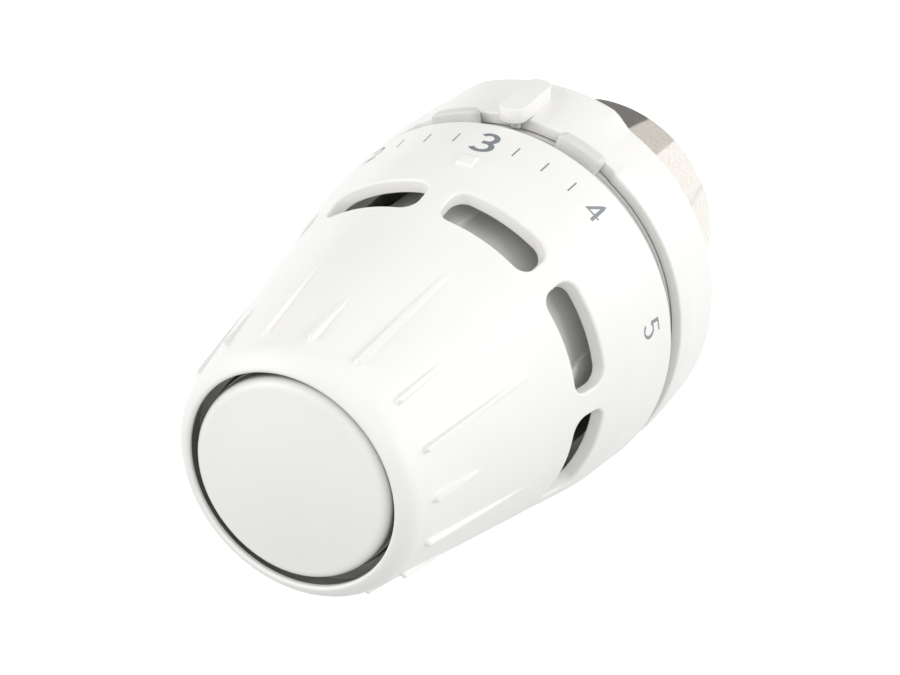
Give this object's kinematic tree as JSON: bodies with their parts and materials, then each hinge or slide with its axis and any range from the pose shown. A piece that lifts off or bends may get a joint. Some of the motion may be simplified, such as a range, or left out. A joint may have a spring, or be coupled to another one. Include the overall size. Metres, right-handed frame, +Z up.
{
  "type": "radiator thermostat head",
  "caption": "Thermostatic head for a radiator valve: a ribbed setting handle, a collar with a pointer and limiter tabs, and a threaded union nut around a sensor-driven push rod.",
  "frame": {"origin": "on the head's axis, at the union nut's mating face", "axes": "+Y is the head's axis, out of the threaded mouth toward the valve; +Z is up, through the pointer; +X is right, seen from the nose"},
  "size_m": [0.0488, 0.0809, 0.051],
  "materials": {
    "white_plastic": "satin white moulded plastic",
    "tab_plastic": "off-white moulded plastic",
    "print_grey": "pad-printed grey numerals and ticks",
    "dark_plastic": "dark moulded plastic",
    "grey_plastic": "grey moulded plastic",
    "nickel_plating": "satin nickel plated brass",
    "spring_steel": "drawn spring steel",
    "brass": "drawn brass",
    "copper": "drawn copper tube"
  },
  "bodies": {
    "base": {"base_socket": "tab_plastic", "collar_cover": "white_plastic", "pointer_tab": "white_plastic", "friction_washer": "tab_plastic", "handle_snap_ring": "spring_steel", "guide_sleeve": "grey_plastic", "guide_bush": "grey_plastic", "nut_snap_ring": "spring_steel"},
    "nut": {"union_nut": "nickel_plating"},
    "min_limiter": {"min_limit_ring": "tab_plastic"},
    "max_limiter": {"max_limit_ring": "tab_plastic"},
    "handle": {"setting_handle": "white_plastic", "end_cap": "white_plastic", "drive_ring": "grey_plastic"},
    "carriage": {"sensor_carriage": "grey_plastic", "spring_retainer": "grey_plastic", "overtravel_spring": "spring_steel"},
    "sensor": {"sensor_can": "brass", "can_base": "brass", "bellows": "brass", "rod_spring": "spring_steel", "fill_tube": "copper"},
    "rod": {"bellows_plate": "brass", "push_rod": "brass", "rod_foot": "grey_plastic", "rod_clip": "spring_steel"}
  },
  "joints": [
    {"name": "nut_spin", "type": "hinge", "parent": "base", "child": "nut", "pos_m": [0, -0.005, 0], "axis": [0, 1, 0], "continuous": true},
    {"name": "min_limiter_set", "type": "hinge", "parent": "base", "child": "min_limiter", "pos_m": [0, -0.031, 0], "axis": [0, -1, 0], "range_deg": [-7, 6]},
    {"name": "max_limiter_set", "type": "hinge", "parent": "base", "child": "max_limiter", "pos_m": [0, -0.032, 0], "axis": [0, -1, 0], "range_deg": [-3, 10]},
    {"name": "handle_turn", "type": "hinge", "parent": "base", "child": "handle", "pos_m": [0, -0.05, 0], "axis": [0, -1, 0], "range_deg": [-113.4, 75.6]},
    {"name": "carriage_slide", "type": "slide", "parent": "base", "child": "carriage", "axis": [0, -1, 0], "range_m": [-0.00284, 0.0019]},
    {"name": "overtravel", "type": "slide", "parent": "carriage", "child": "sensor", "axis": [0, -1, 0], "range_m": [0, 0.002], "deforming": ["overtravel_spring"]},
    {"name": "sensor_stroke", "type": "slide", "parent": "sensor", "child": "rod", "axis": [0, 1, 0], "range_m": [-0.0004, 0.0015], "deforming": ["bellows", "rod_spring"]}
  ],
  "couplings": [
    {"joint": "carriage_slide", "follows": "handle_turn", "m_per_rad": 0.0014324}
  ]
}
